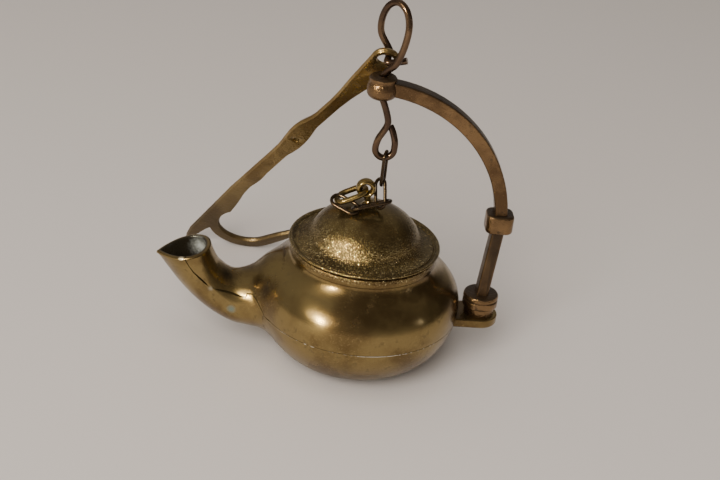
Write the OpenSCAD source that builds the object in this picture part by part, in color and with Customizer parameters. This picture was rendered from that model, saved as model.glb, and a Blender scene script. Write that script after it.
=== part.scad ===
// Hanging oil lamp: a brass reservoir of two soldered shells with a spout, a lid on
// a chain, an arched bar with a swivel loop above it, and a flat hanger arm.
// Millimetres. The origin is the centre of the base, +Z is up and the spout is at -X.

/* [Reservoir] */
// Largest radius of the reservoir
body_r = 32.5; // [30:0.5:36]
// Height of the largest radius above the table
belly_z = 21.7; // [20.5:0.1:24]
// Radius of the flat that the lamp stands on
base_r = 10.5; // [8:0.5:14]
// Height that the domed shoulder would reach on the axis, above the belly
shoulder_h = 17.1; // [16:0.1:18.5]
// Wall of the two shells
wall = 1.6; // [1.2:0.1:2]
// Thickness of the bottom under the oil
floor_t = 2.2; // [1.6:0.1:3]
// Height of the soldered seam that joins the shells
seam_z = 19; // [18.5:0.1:20]

/* [Neck] */
// Outer radius of the upright collar that the lid sits on
collar_r = 23.4; // [22.9:0.1:24]
// Height of the collar's flat top above the table
collar_z = 40.3; // [39.5:0.1:42]
// Radius of the filler hole
neck_r = 21.3; // [20.4:0.1:21.8]

/* [Spout] */
// Wall of the spout
spout_wall = 1.7; // [1.2:0.1:2.2]
// Half width of the spout's open mouth
mouth_half_w = 8; // [7:0.1:9]
// Distance of the mouth's pointed tip from the axis
mouth_tip_x = 65.5; // [62:0.5:70]
// Height of the pointed tip above the table
mouth_tip_z = 33; // [30:0.5:36]
// Distance of the mouth's round back edge from the axis
mouth_back_x = 48.4; // [47:0.1:50]
// Height of the round back edge above the table
mouth_back_z = 36.9; // [35.5:0.1:39]

/* [Lug and foot] */
// Distance of the lug's centre from the axis
lug_x = 39.8; // [38.5:0.1:42]
// Radius of the lug's round end
lug_r = 6.2; // [5.8:0.1:7]
// Thickness of the lug
lug_t = 3; // [2.4:0.1:3.6]
// Distance of the lug's top below the seam
lug_drop = 0.7; // [0.5:0.1:1.5]
// Height of the soldered neck between lug and foot
joint_h = 2.7; // [2:0.1:3.5]
// Radius of the soldered neck
joint_r = 4.9; // [4.4:0.1:5.4]
// Height of the square block above the neck
block_h = 2.7; // [2:0.1:3.5]
// Height of the round cap above the block
cap_h = 1.9; // [1.4:0.1:2.6]
// Radius of the foot
foot_r = 5.7; // [5.4:0.1:6.2]
// Radius of the rivet through the lug
rivet_r = 2; // [1.6:0.1:2.4]
// Radius of the rivet's peened head
rivet_head_r = 3.6; // [3.2:0.1:4.4]
// Height of the rivet's peened head
rivet_head_h = 1.6; // [1.2:0.1:2]

/* [Arch] */
// Depth of the bar from front to back
bar_d = 5; // [4.4:0.1:5.6]
// Thickness of the straight lower bar at its foot
bar_t = 3.9; // [3.4:0.1:4.4]
// Outer radius of the curved part
arch_r = 45.7; // [45.2:0.1:46.4]
// Thickness of the curved part at its top
arch_t = 4.3; // [3.8:0.1:4.8]
// Thickness of the curved part where it meets the knuckle
arch_side_t = 3.8; // [3.4:0.1:4.2]
// Distance of the curve's top below the boss's top
arch_drop = 1.2; // [0.8:0.1:1.6]
// Distance of the curve's centre behind the swivel axis, towards the spout
arch_back = 1.8; // [1:0.1:2.4]
// Height of the top of the knuckle block above the table
knuckle_z = 55; // [53:0.5:57]
// Height of the knuckle block
knuckle_h = 6.3; // [5:0.1:7.5]
// Width of the knuckle block along X
knuckle_w = 8.7; // [8:0.1:9.5]
// Depth of the knuckle block along Y
knuckle_d = 8; // [7:0.1:9]
// Height of the swivel boss's top above the table
boss_z = 98; // [97:0.5:99]
// Height of the swivel boss
boss_h = 7; // [6:0.5:8]
// Radius of the swivel boss
boss_r = 4.7; // [4.3:0.1:5.2]

/* [Lid] */
// Radius of the lid's dome at its foot
dome_r = 18.1; // [17.5:0.1:18.4]
// Height of the dome above the gutter's edge
dome_h = 13.4; // [12:0.1:15]
// Outer radius of the brim
brim_r = 24.1; // [23.9:0.1:25]
// Thickness of the brim over its seat
brim_t = 1.6; // [1.4:0.1:2]
// Thickness of the brim's rounded lip
lip_t = 0.9; // [0.7:0.1:1.2]
// Distance of the gutter's bottom from the brim's edge
gutter_in = 1.9; // [1.6:0.1:2.2]
// Depth of the gutter below the brim's top
gutter_d = 0.8; // [0.5:0.1:1]
// Wall of the lid
lid_wall = 1.6; // [1.3:0.1:1.9]
// Depth of the spigot below the collar's top
spigot_h = 4; // [3:0.1:5]
// Gap between the spigot and the filler hole, on the radius
lid_fit = 0.2; // [0.15:0.05:0.3]
// Gap between the brim and the collar's top
lid_seat = 0.1; // [0.05:0.05:0.2]

/* [Lid eye and ring] */
// Radius of the small flat on top of the dome
crown_r = 2.6; // [2.4:0.1:3]
// Radius of the post that carries the eye
post_r = 1.4; // [1.2:0.1:1.6]
// Height of the eye's centre above the dome
eye_rise = 6; // [5.6:0.1:6.5]
// Lean of the eye towards the spout
eye_lean = 14; // [10:1:16]
// Radius of the hole in the eye
eye_hole_r = 1.4; // [1.3:0.05:1.6]
// Thickness of the eye's round section
eye_wire_d = 1.75; // [1.5:0.05:1.9]
// Thickness of the ring's wire
ring_d = 1.8; // [1.5:0.05:1.9]
// Inside length of the ring
ring_len = 8; // [7.6:0.1:8.4]
// Inside width of the ring
ring_w = 4.4; // [4.1:0.1:4.8]
// Slope of the ring at rest
ring_slope = 27; // [25:1:29]

/* [Chain] */
// Thickness of the chain's wire
chain_d = 1.1; // [0.9:0.05:1.15]
// Width of a link between the middles of its wires
link_w = 3.9; // [3.8:0.05:4]
// Length of the two long links between the middles of their ends
long_link = 12.1; // [12:0.05:12.2]
// Length of the two short links between the middles of their ends
short_link = 9.3; // [9.2:0.05:9.4]

/* [Swivel] */
// Thickness of the swivel wire
swivel_d = 2.1; // [1.8:0.05:2.2]
// Running gap of the wire in the boss, on the radius
swivel_fit = 0.15; // [0.1:0.05:0.3]
// Height of the middle of the lower eye's bottom wire
swivel_eye_z = 71; // [70.6:0.1:71.4]
// Length of the lower eye between the middles of its ends
swivel_eye_len = 9.2; // [8.8:0.1:9.6]
// Width of the lower eye between the middles of its sides
swivel_eye_w = 5.8; // [5.4:0.1:6.2]
// Offset of the lower eye from the swivel axis
swivel_eye_x = 2.9; // [2.6:0.1:3.2]

/* [Hanger arm] */
// Thickness of the arm's flat bar
arm_t = 1.9; // [1.5:0.1:2]
// Height of the loop's lowest wire, which carries the arm, above the boss
hang_rise = 5.2; // [5:0.1:5.8]
// Radius of the arm's eye
arm_eye_r = 4.5; // [4.2:0.1:4.8]
// Radius of the hole in the arm's eye
arm_hole_r = 2.7; // [2.5:0.05:2.8]
// Distance from the eye to the knot's first shoulder
neck_len = 43; // [40:0.5:46]
// Length of the knot
knot_len = 17; // [14:0.5:19]
// Width of the arm's thin stretch beside the knot
neck_w = 4.3; // [3.6:0.1:4.8]
// Width of the knot
knot_w = 7.4; // [6.6:0.1:8.2]
// Width of the bar beyond the knot
bar_w = 5.4; // [5:0.1:6]
// Radius of the hole drilled through the knot
knot_hole_r = 0.9; // [0.6:0.05:1.2]
// Distance from the eye to the hook's centre
hook_u = 113; // [110:0.5:114]
// Inner radius of the hook
hook_r = 9.5; // [8.5:0.1:10]
// Width of the hook's bar
hook_w = 4.4; // [3.8:0.1:5]
// Angle by which the hook's tail opens away from the bar
hook_open = 22; // [15:1:26]
// Distance from the eye to the tip of the spike
spike_u = 135.5; // [130:0.5:136]
// Width of the spike at its root
spike_w = 4.4; // [3.8:0.1:5]
// Distance of the arm's eye behind the swivel axis
hang_back = 2.5; // [2.3:0.1:3]
// Turn of the arm about the vertical, from +X
arm_azimuth = 132.5; // [128:0.5:137]
// Slope of the arm below the horizontal
arm_dip = 48.8; // [48:0.1:49]
// Lean of the arm's flat face about its own length
arm_roll = 41; // [38:1:44]

/* [Hidden] */
$fn = 96;

// Longer than any cut has to be
far = 120;
// Small overlap that keeps a cut clean
eps = 0.01;

brass = [0.66, 0.52, 0.30];
dark_brass = [0.50, 0.40, 0.24];
wire_brown = [0.42, 0.28, 0.20];
chain_grey = [0.36, 0.32, 0.26];

lug_top = seam_z - lug_drop;
foot_z = lug_top + joint_h;
bar_z = foot_z + block_h + cap_h;
arch_x = -arch_back;
arch_z = boss_z - arch_drop - arch_r;
knuckle_x = arch_x + arch_r - arch_t / 2;
arch_inner_r = arch_r - 3;
arch_inner_x = arch_x + arch_r - arch_side_t - arch_inner_r;
arch_inner_z = arch_z + arch_r - arch_t - arch_inner_r;
bore_r = swivel_d / 2 + swivel_fit;
brim_z = collar_z + lid_seat;
dome_z = brim_z + 0.6;
crown_z = dome_z + dome_h;
gutter_z = brim_z + brim_t - gutter_d;
spigot_r = neck_r - lid_fit;

// Points of the reservoir's outside below and above the belly
function lower_curve(r, z0, bottom_r) =
    [for (t = [90:-6:0]) [bottom_r + (r - bottom_r) * cos(t), z0 + (belly_z - z0) * (1 - sin(t))]];
function upper_curve(r, h, stop_r) =
    [for (t = [6:3:60]) if (r * cos(t) > stop_r) [r * cos(t), belly_z + h * pow(sin(t), 0.79)]];

// Quadratic curve from a to c that leans towards b
function bend(a, b, c, n = 5) =
    [for (i = [0:n]) let (s = i / n) a * pow(1 - s, 2) + b * 2 * s * (1 - s) + c * s * s];

// Smooth curve through a list of points, as a list of n points per span
function spline_at(a, b, c, d, s) =
    0.5 * (2 * b + (c - a) * s + (2 * a - 5 * b + 4 * c - d) * s * s + (3 * b - a - 3 * c + d) * pow(s, 3));
function spline(p, n) = let (last = len(p) - 1) concat(
    [for (i = [0:last - 1], k = [0:n - 1])
        spline_at(p[max(i - 1, 0)], p[i], p[i + 1], p[min(i + 2, last)], k / n)],
    [p[last]]);

// Closed skin over rings that each have the same number of points
module skin(rings) {
    m = len(rings[0]);
    points = [for (ring = rings) each ring];
    sides = [for (j = [0:len(rings) - 2], i = [0:m - 1]) let (a = j * m + i, b = j * m + (i + 1) % m)
        each [[a, b + m, b], [a, a + m, b + m]]];
    first = [for (i = [0:m - 1]) i];
    last = [for (i = [m - 1:-1:0]) (len(rings) - 1) * m + i];
    polyhedron(points, concat([first], sides, [last]));
}

// Spout stations: bottom x and z, top x and z, half width, and how pointed the bottom is
spout_stations = [
    [-20, 8.5, -20, 34, 16, 0],
    [-25.5, 8, -25.5, 34.6, 14.5, 0],
    [-30, 8.7, -30, 33, 12.3, 0],
    [-35, 9.4, -35, 28.8, 10.4, 0],
    [-41, 10.5, -40.5, 27.3, 9, 0],
    [-49.5, 15.2, -45, 30, 8.6, 0.15],
    [-57.5, 22.5, -47, 33.2, mouth_half_w + 0.3, 0.4],
    [-mouth_tip_x, mouth_tip_z, -mouth_back_x, mouth_back_z, mouth_half_w, 0.8]];
spout_sides = 28;

function pinch_width(m) = max([for (a = [0:5:180]) sin(a) * pow(cos(a / 2), max(m, 0))]);
function spout_ring(s, inset) =
    let (low = [s[0], 0, s[1]], high = [s[2], 0, s[3]], axis = (high - low) / norm(high - low),
        mid = (low + high) / 2, half = norm(high - low) / 2 - inset, w = (s[4] - inset) / pinch_width(s[5]))
    [for (i = [0:spout_sides - 1]) let (a = 360 * i / spout_sides)
        mid + axis * half * cos(a) + [0, w * sin(a) * pow(abs(cos(a / 2)), max(s[5], 0)), 0]];

module spout_outside() {
    skin([for (s = spline(spout_stations, 2)) spout_ring(s, 0)]);
}

module spout_inside() {
    rings = [for (s = spline(spout_stations, 2)) spout_ring(s, spout_wall)];
    rim_a = rings[len(rings) - 1][0];
    rim_b = rings[len(rings) - 1][spout_sides / 2];
    across = (rim_a - rim_b) / norm(rim_a - rim_b);
    up = [-across[2], 0, across[0]] * 2;
    skin(concat(rings, [[for (p = rings[len(rings) - 1]) p + up]]));
}

module body_outside() {
    shoulder = upper_curve(body_r, shoulder_h, collar_r + 2.9);
    cove = bend(shoulder[len(shoulder) - 1], [collar_r, collar_z - 5], [collar_r, collar_z - 3]);
    rotate_extrude()
        polygon(concat([[0, 0]], lower_curve(body_r, 0, base_r), shoulder, cove,
            [[collar_r, collar_z - 0.3], [collar_r - 0.3, collar_z], [0, collar_z]]));
}

module body_inside() {
    rotate_extrude()
        polygon(concat([[0, floor_t]], lower_curve(body_r - wall, floor_t, base_r),
            upper_curve(body_r - wall, shoulder_h - wall, neck_r),
            [[neck_r, collar_z - 6], [neck_r, collar_z + 1], [0, collar_z + 1]]));
}

// Everything above the soldered seam, which climbs along the spout to its mouth
module above_seam() {
    rotate([90, 0, 0])
        linear_extrude(far, center = true)
            polygon([[far, seam_z], [-30, seam_z], [-33.4, seam_z + 4.8], [-35.8, seam_z + 5],
                [-36.2, seam_z + 4], [-39.4, seam_z + 3.9], [-42.4, seam_z + 4.6], [-46, seam_z + 5.8],
                [-49.3, seam_z + 7.7], [-53.2, seam_z + 11.4], [-56, seam_z + 15.5], [-57, far], [far, far]]);
}

module shells() {
    difference() {
        union() {
            body_outside();
            spout_outside();
        }
        body_inside();
        spout_inside();
    }
}

module lug_plate() {
    translate([lug_x, 0, lug_top - lug_t])
        cylinder(h = lug_t, r = lug_r);
    translate([body_r - 5, -lug_r, lug_top - lug_t])
        cube([lug_x - body_r + 5, 2 * lug_r, lug_t]);
}

module lower_shell() {
    color(brass)
        difference() {
            union() {
                difference() {
                    shells();
                    above_seam();
                }
                difference() {
                    lug_plate();
                    body_inside();
                }
            }
            translate([lug_x, 0, lug_top - lug_t - 1])
                cylinder(h = lug_t + 2, r = rivet_r);
        }
}

module upper_shell() {
    color(brass)
        intersection() {
            shells();
            above_seam();
        }
}

// An outline in the XZ plane, given half of the bar's depth to each side
module across_bar() {
    translate([0, bar_d / 2, 0])
        rotate([90, 0, 0])
            linear_extrude(bar_d)
                children();
}

module arch_curve() {
    intersection() {
        difference() {
            translate([arch_x, bar_d / 2, arch_z])
                rotate([90, 0, 0])
                    cylinder(h = bar_d, r = arch_r);
            translate([arch_inner_x, bar_d / 2 + 1, arch_inner_z])
                rotate([90, 0, 0])
                    cylinder(h = bar_d + 2, r = arch_inner_r);
        }
        translate([0, -bar_d, knuckle_z - 1])
            cube([far, 2 * bar_d, far]);
    }
}

module boss() {
    z0 = boss_z - boss_h;
    rotate_extrude()
        polygon([[0, z0], [boss_r - 1.2, z0], [boss_r - 0.3, z0 + 0.8], [boss_r, z0 + 2.4],
            [boss_r, boss_z - 2.6], [boss_r - 0.4, boss_z - 0.9], [boss_r - 1.1, boss_z], [0, boss_z]]);
}

module knuckle() {
    round_r = 2.4;
    translate([knuckle_x, 0, knuckle_z - knuckle_h])
        hull()
            for (sx = [-1, 1], sy = [-1, 1])
                translate([sx * (knuckle_w / 2 - round_r), sy * (knuckle_d / 2 - round_r), 0])
                    cylinder(h = knuckle_h, r = round_r, $fn = 32);
}

module foot() {
    translate([lug_x, 0, lug_top])
        cylinder(h = joint_h + eps, r = joint_r);
    translate([lug_x, 0, foot_z])
        intersection() {
            cylinder(h = block_h, r = foot_r);
            translate([-foot_r, -foot_r * 0.86, 0])
                cube([2 * foot_r, 2 * foot_r * 0.86, block_h]);
        }
    translate([lug_x, 0, foot_z + block_h - eps])
        cylinder(h = cap_h + eps, r = foot_r);
}

module arch() {
    rivet_bore = joint_h + block_h;
    color(dark_brass)
        difference() {
            union() {
                arch_curve();
                knuckle();
                across_bar()
                    polygon([[lug_x - bar_t / 2, bar_z - 1], [lug_x + bar_t / 2, bar_z - 1],
                        [knuckle_x + bar_t / 2, knuckle_z - knuckle_h + 1],
                        [knuckle_x - bar_t / 2, knuckle_z - knuckle_h + 1]]);
                foot();
                boss();
            }
            translate([0, 0, boss_z - boss_h - 1])
                cylinder(h = boss_h + 2, r = bore_r);
            translate([lug_x, 0, lug_top - 1])
                cylinder(h = rivet_bore + 1, r = rivet_r);
        }
}

module foot_rivet() {
    z0 = lug_top - lug_t;
    color(dark_brass)
        translate([lug_x, 0, 0])
            rotate_extrude()
                polygon([[0, z0 - rivet_head_h], [rivet_head_r - 1.3, z0 - rivet_head_h + 0.2],
                    [rivet_head_r - 0.3, z0 - rivet_head_h + 0.8], [rivet_head_r, z0],
                    [rivet_r, z0], [rivet_r, foot_z + block_h - 0.3], [0, foot_z + block_h - 0.3]]);
}

module lid() {
    gutter_x = brim_r - gutter_in;
    top_z = brim_z + brim_t;
    inner_r = dome_r - lid_wall;
    rim_in = spigot_r - lid_wall;
    ledge_z = gutter_z - lid_wall;
    hollow_h = crown_z - lid_wall - ledge_z;
    dome = [for (t = [80:-5:15]) [dome_r * cos(t), dome_z + dome_h * sin(t)]];
    flare = bend(dome[len(dome) - 1], [dome_r + 0.1, top_z + 0.3], [gutter_x - 0.3, gutter_z + 0.3]);
    hollow = [for (t = [0:6:78]) [inner_r * cos(t), ledge_z + hollow_h * sin(t)]];
    color(brass)
        difference() {
            rotate_extrude()
                polygon(concat([[crown_r, crown_z]], dome, flare,
                    [[gutter_x, gutter_z], [gutter_x + 0.4, gutter_z + 0.2], [brim_r - 1.1, top_z - 0.1],
                    [brim_r - 0.7, top_z], [brim_r - 0.2, top_z - 0.15], [brim_r, top_z - 0.5],
                    [brim_r - 0.1, top_z - 0.75], [brim_r - 0.4, top_z - lip_t], [brim_r - 1.4, brim_z],
                    [spigot_r, brim_z], [spigot_r, collar_z - spigot_h + 0.3],
                    [spigot_r - 0.3, collar_z - spigot_h], [rim_in, collar_z - spigot_h],
                    [rim_in, ledge_z]], hollow,
                    [[crown_r, crown_z - lid_wall], [0, crown_z - lid_wall], [0, crown_z]]));
            translate([0, 0, crown_z - lid_wall - 1])
                cylinder(h = lid_wall + 2, r = post_r);
        }
}

// The post with its solder bead and peened tail, then the leaning eye
module lid_eye() {
    tube_r = eye_wire_d / 2;
    color(dark_brass)
        translate([0, 0, crown_z]) {
            rotate_extrude()
                polygon([[0, -lid_wall - 1], [1.6, -lid_wall - 0.8], [2.1, -lid_wall], [post_r, -lid_wall],
                    [post_r, 0], [2.4, 0], [2.2, 0.5], [1.7, 0.9], [post_r, 1.6], [0, 1.6]]);
            rotate([0, -eye_lean, 0]) {
                cylinder(h = eye_rise - eye_hole_r - tube_r, r = post_r - 0.2);
                translate([0, 0, eye_rise])
                    rotate([90, 0, 0])
                        rotate_extrude()
                            translate([eye_hole_r + tube_r, 0])
                                circle(tube_r);
            }
        }
}

// A link with its first end at the origin, its length along -X and its width along Y
module link(length, width, d) {
    bend_r = width / 2;
    straight = length - width;
    for (side = [-1, 1])
        translate([-bend_r, side * bend_r, 0])
            rotate([0, -90, 0])
                cylinder(h = straight, r = d / 2);
    translate([-bend_r, 0, 0])
        rotate([0, 0, -90])
            rotate_extrude(angle = 180)
                translate([bend_r, 0])
                    circle(d / 2);
    translate([-bend_r - straight, 0, 0])
        rotate([0, 0, 90])
            rotate_extrude(angle = 180)
                translate([bend_r, 0])
                    circle(d / 2);
}

eye_x = -eye_rise * sin(eye_lean);
eye_z = crown_z + eye_rise * cos(eye_lean);
ring_length = ring_len + ring_d;
ring_start = [eye_x, 0, eye_z - eye_hole_r + ring_d / 2 + 0.1];
ring_end = ring_start - ring_length * [cos(ring_slope), 0, sin(ring_slope)];

module lid_ring() {
    color(brass)
        translate(ring_start)
            rotate([0, -ring_slope, 0])
                link(ring_length, ring_w + ring_d, ring_d);
}

module placed_link(start, turn, length) {
    color(chain_grey)
        translate(start)
            rotate(turn)
                link(length, link_w, chain_d);
}

// Middle of the other end of a link
function link_end(start, turn, length) =
    start + length * [-cos(turn[1]) * cos(turn[2]), -cos(turn[1]) * sin(turn[2]), sin(turn[1])];

// How the chain lies: from the swivel's eye down to link 1, and from the ring to links 4, 3 and 2
swivel_eye_end = [swivel_eye_x, 0, swivel_eye_z];
link_1_turn = [78, -80, -96];
link_1_start = swivel_eye_end + [0.55, -0.3, 2];
link_4_turn = [149, -11, 148];
link_4_start = ring_end + [-1.35, -0.45, 1];
link_3_turn = [-162, 16, -176];
link_3_start = link_end(link_4_start, link_4_turn, short_link) + [-1.55, 0.65, 0.3];
link_2_turn = [52, 55, -84];
link_2_start = link_end(link_3_start, link_3_turn, long_link) + [-2.85, 0.45, -3.05];

module link_1() {
    placed_link(link_1_start, link_1_turn, long_link);
}

module link_2() {
    placed_link(link_2_start, link_2_turn, short_link);
}

module link_3() {
    placed_link(link_3_start, link_3_turn, long_link);
}

module link_4() {
    placed_link(link_4_start, link_4_turn, short_link);
}

// Where the swivel's wire crosses the arm's eye, and the way it runs there
hang_point = [1, hang_back, boss_z + hang_rise];
face_normal = [
    sin(arm_dip) * cos(arm_roll) * cos(arm_azimuth) + sin(arm_roll) * sin(arm_azimuth),
    sin(arm_dip) * cos(arm_roll) * sin(arm_azimuth) - sin(arm_roll) * cos(arm_azimuth),
    cos(arm_dip) * cos(arm_roll)];

// Round wire along a smooth curve, with its rings turned from the direction flat
module wire(path, d, flat, sides = 12) {
    curve = spline(path, 4);
    last = len(curve) - 1;
    skin([for (i = [0:last])
        let (along = curve[min(i + 1, last)] - curve[max(i - 1, 0)], t = along / norm(along),
            c = cross(t, flat), u = c / norm(c), v = cross(t, u))
        [for (k = [0:sides - 1]) curve[i] + d / 2 * (cos(360 * k / sides) * u + sin(360 * k / sides) * v)]]);
}

// The shank leaves the boss, goes round the loop and through the arm's eye, and ends behind itself
module swivel_loop() {
    z = hang_point[2];
    wire([[0, 0, boss_z - 1], [0, 0, boss_z], [1.3, -1.2, boss_z + 2.4], [3.1, -2.6, z - 0.3],
        [4.6, -3.4, z + 4.6], [5.4, -3.5, z + 9.6], [5.3, -2.9, z + 13.2], [4.2, -1.7, z + 16.2],
        [2.2, 0.3, z + 17.6], [0.1, 2.2, z + 16.5], [-1.3, 3.6, z + 13.9], [-2, 4.9, z + 10],
        [-1.5, 5.7, z + 5.8], hang_point + 2.6 * face_normal,
        hang_point, hang_point - 2.3 * face_normal, [3.4, 0, z - 0.8], [6.4, -0.6, z + 0.2]],
        swivel_d, [0.7, 0.7, 0]);
}

// The straight shank leans from a round knee under the boss to the top of the lower eye
module swivel_shank(knee_z, eye_top) {
    lean = atan2(swivel_eye_x, knee_z - eye_top);
    translate([0, 0, knee_z]) {
        sphere(d = swivel_d + 0.1, $fn = 48);
        rotate([0, 180 - lean, 0])
            cylinder(h = norm([swivel_eye_x, knee_z - eye_top]), d = swivel_d - 0.1);
    }
}

module swivel_wire() {
    z0 = boss_z - boss_h;
    eye_top = swivel_eye_z + swivel_eye_len;
    color(wire_brown) {
        translate([0, 0, z0 - 0.4])
            cylinder(h = boss_h + 0.8, d = swivel_d + 0.04);
        swivel_loop();
        swivel_shank(z0 - 0.4, eye_top);
        translate([swivel_eye_x, 0, eye_top])
            rotate([0, -90, 0])
                rotate([90, 0, 0])
                    link(swivel_eye_len, swivel_eye_w, swivel_d);
    }
}

// The arm lies flat here: its length is along X from the crossing wire, the hook is at -Y
module arm_bar() {
    knot_end = neck_len + knot_len;
    hook_v = -hook_r - 3.5;
    outer_r = hook_r + hook_w;
    linear_extrude(arm_t, center = true)
        polygon([[3, arm_eye_r - 0.1], [16, neck_w * 0.8], [30, neck_w / 2], [neck_len - 4.5, neck_w / 2],
            [neck_len - 1, neck_w / 2 + 0.5], [neck_len + 3, knot_w / 2 + 0.1],
            [neck_len + 7.5, knot_w / 2 + 0.4], [neck_len + 11, knot_w / 2 + 0.1],
            [knot_end - 2, bar_w / 2 + 0.6], [knot_end + 1.5, bar_w / 2 + 0.2],
            [hook_u - 17, bar_w / 2 + 0.2], [hook_u - 2, bar_w / 2 - 0.4], [spike_u - 7, spike_w / 2 - 0.5],
            [spike_u - 2, 0.7], [spike_u, -0.2], [spike_u, -0.8], [spike_u - 2, -1.6],
            [spike_u - 7, -spike_w / 2 - 0.5], [hook_u + 8, -3.2], [hook_u + 2, hook_v + hook_r + 1],
            [hook_u - 5, -4.4], [hook_u - 12, -3.8], [hook_u - 18, -bar_w / 2 + 0.2],
            [knot_end + 5, -bar_w / 2 + 0.1], [knot_end + 1, -knot_w / 2 + 0.5],
            [knot_end - 3, -knot_w / 2 + 0.1], [knot_end - 8, -knot_w / 2 + 0.3],
            [neck_len + 4, -neck_w / 2 - 0.4], [neck_len + 1, -neck_w / 2], [30, -neck_w / 2],
            [16, -neck_w * 0.85], [3, -arm_eye_r + 0.1]]);
    translate([hook_u, hook_v, 0]) {
        rotate(hook_open)
            linear_extrude(arm_t, center = true)
                polygon([[1, 0.2 - hook_r], [-6, -0.2 - hook_r], [-12, -0.9 - hook_r], [-15, -2.2 - hook_r],
                    [-15, -2.9 - hook_r], [-12, 0.4 - outer_r], [-6, -outer_r], [1, -outer_r]]);
        difference() {
            cylinder(h = arm_t, r = outer_r, center = true);
            cylinder(h = arm_t + 2, r = hook_r, center = true);
            rotate(hook_open)
                translate([-far, -far, -far / 2])
                    cube([far, far, far]);
            translate([-far, -far, -far / 2])
                cube([far, far + hook_r + 0.8, far]);
        }
    }
}

module hanger_arm() {
    hole_u = arm_hole_r - swivel_d / 2 - 0.15;
    color(dark_brass)
        translate(hang_point)
            rotate([0, 0, arm_azimuth])
                rotate([0, arm_dip, 0])
                    rotate([arm_roll, 0, 0])
                        difference() {
                            union() {
                                translate([hole_u, 0, 0])
                                    cylinder(h = arm_t, r = arm_eye_r, center = true);
                                arm_bar();
                            }
                            translate([hole_u, 0, 0])
                                cylinder(h = arm_t + 2, r = arm_hole_r, center = true);
                            translate([neck_len + 0.66 * knot_len, 0, 0])
                                cylinder(h = arm_t + 2, r = knot_hole_r, center = true);
                        }
}

lower_shell();
upper_shell();
arch();
foot_rivet();
lid();
lid_eye();
lid_ring();
link_1();
link_2();
link_3();
link_4();
swivel_wire();
hanger_arm();
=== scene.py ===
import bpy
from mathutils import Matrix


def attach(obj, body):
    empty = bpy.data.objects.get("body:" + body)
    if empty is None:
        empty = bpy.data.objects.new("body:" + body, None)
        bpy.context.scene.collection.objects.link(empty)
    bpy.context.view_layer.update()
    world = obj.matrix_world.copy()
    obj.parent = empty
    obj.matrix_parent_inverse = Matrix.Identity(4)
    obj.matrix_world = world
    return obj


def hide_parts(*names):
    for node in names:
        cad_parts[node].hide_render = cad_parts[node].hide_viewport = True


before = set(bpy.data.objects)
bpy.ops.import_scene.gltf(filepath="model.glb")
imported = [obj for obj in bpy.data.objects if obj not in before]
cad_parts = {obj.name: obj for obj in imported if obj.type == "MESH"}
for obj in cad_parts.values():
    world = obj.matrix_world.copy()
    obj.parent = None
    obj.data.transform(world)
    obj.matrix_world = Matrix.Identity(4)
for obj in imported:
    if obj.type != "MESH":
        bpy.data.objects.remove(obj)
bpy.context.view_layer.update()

import math

import bmesh
import bpy
from mathutils import Euler, Matrix, Vector, bvhtree

MM = 0.001
LAMP = "lamp"

# Sizes in millimetres, as in the part's source
BODY_R, BELLY_Z, BASE_R, SHOULDER_H = 32.5, 21.7, 10.5, 17.1
WALL, FLOOR_T, SEAM_Z = 1.6, 2.2, 19.0
COLLAR_R, COLLAR_Z, NECK_R = 23.4, 40.3, 21.3
SPOUT_WALL, MOUTH_HALF_W, TIP_X, TIP_Z, BACK_X, BACK_Z = 1.7, 8.0, 65.5, 33.0, 48.4, 36.9
LUG_X, LUG_R, LUG_T, LUG_TOP = 39.8, 6.2, 3.0, 18.3
JOINT_H, JOINT_R, BLOCK_H, CAP_H, FOOT_R = 2.7, 4.9, 2.7, 1.9, 5.7
RIVET_R, RIVET_HEAD_R, RIVET_HEAD_H = 2.0, 3.6, 1.6
BAR_D, BAR_T, ARCH_R, ARCH_T, ARCH_X = 5.0, 3.9, 45.7, 4.3, -1.8
KNUCKLE_Z, KNUCKLE_H, KNUCKLE_W, KNUCKLE_D = 55.0, 6.3, 8.7, 8.0
BOSS_Z, BOSS_H, BOSS_R = 98.0, 7.0, 4.7
DOME_R, DOME_H, BRIM_R, LID_WALL, SPIGOT_H = 18.1, 13.4, 24.1, 1.6, 4.0
BRIM_Z, BRIM_TOP, LIP_T, DOME_Z, SPIGOT_R, GUTTER_X, GUTTER_Z = 40.4, 42.0, 0.9, 41.0, 21.1, 22.2, 41.2
CROWN_R, CROWN_Z, POST_R, EYE_RISE, EYE_LEAN = 2.6, 54.4, 1.4, 6.0, 14.0
EYE_HOLE_R, EYE_WIRE_D = 1.4, 1.75
RING_D, RING_LEN, RING_W, RING_SLOPE = 1.8, 8.0, 4.4, 27.0
CHAIN_D, LINK_W, LONG_LINK, SHORT_LINK = 1.1, 3.9, 12.1, 9.3
SWIVEL_D, SWIVEL_X, SWIVEL_Z, SWIVEL_LEN, SWIVEL_W = 2.1, 2.9, 71.0, 9.2, 5.8
ARM_T, HANG_RISE, HANG_BACK, EYE_R, EYE_HOLE = 1.9, 5.2, 2.5, 4.5, 2.7
NECK_LEN, KNOT_LEN, NECK_W, KNOT_W, BAR_W, KNOT_HOLE = 43.0, 17.0, 4.3, 7.4, 5.4, 0.9
HOOK_U, HOOK_R, HOOK_W, HOOK_OPEN, SPIKE_U, SPIKE_W = 113.0, 9.5, 4.4, 22.0, 135.5, 4.4
ARM_AZIMUTH, ARM_DIP, ARM_ROLL = 132.5, 48.8, 41.0


# Camera at the photograph's angle

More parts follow.
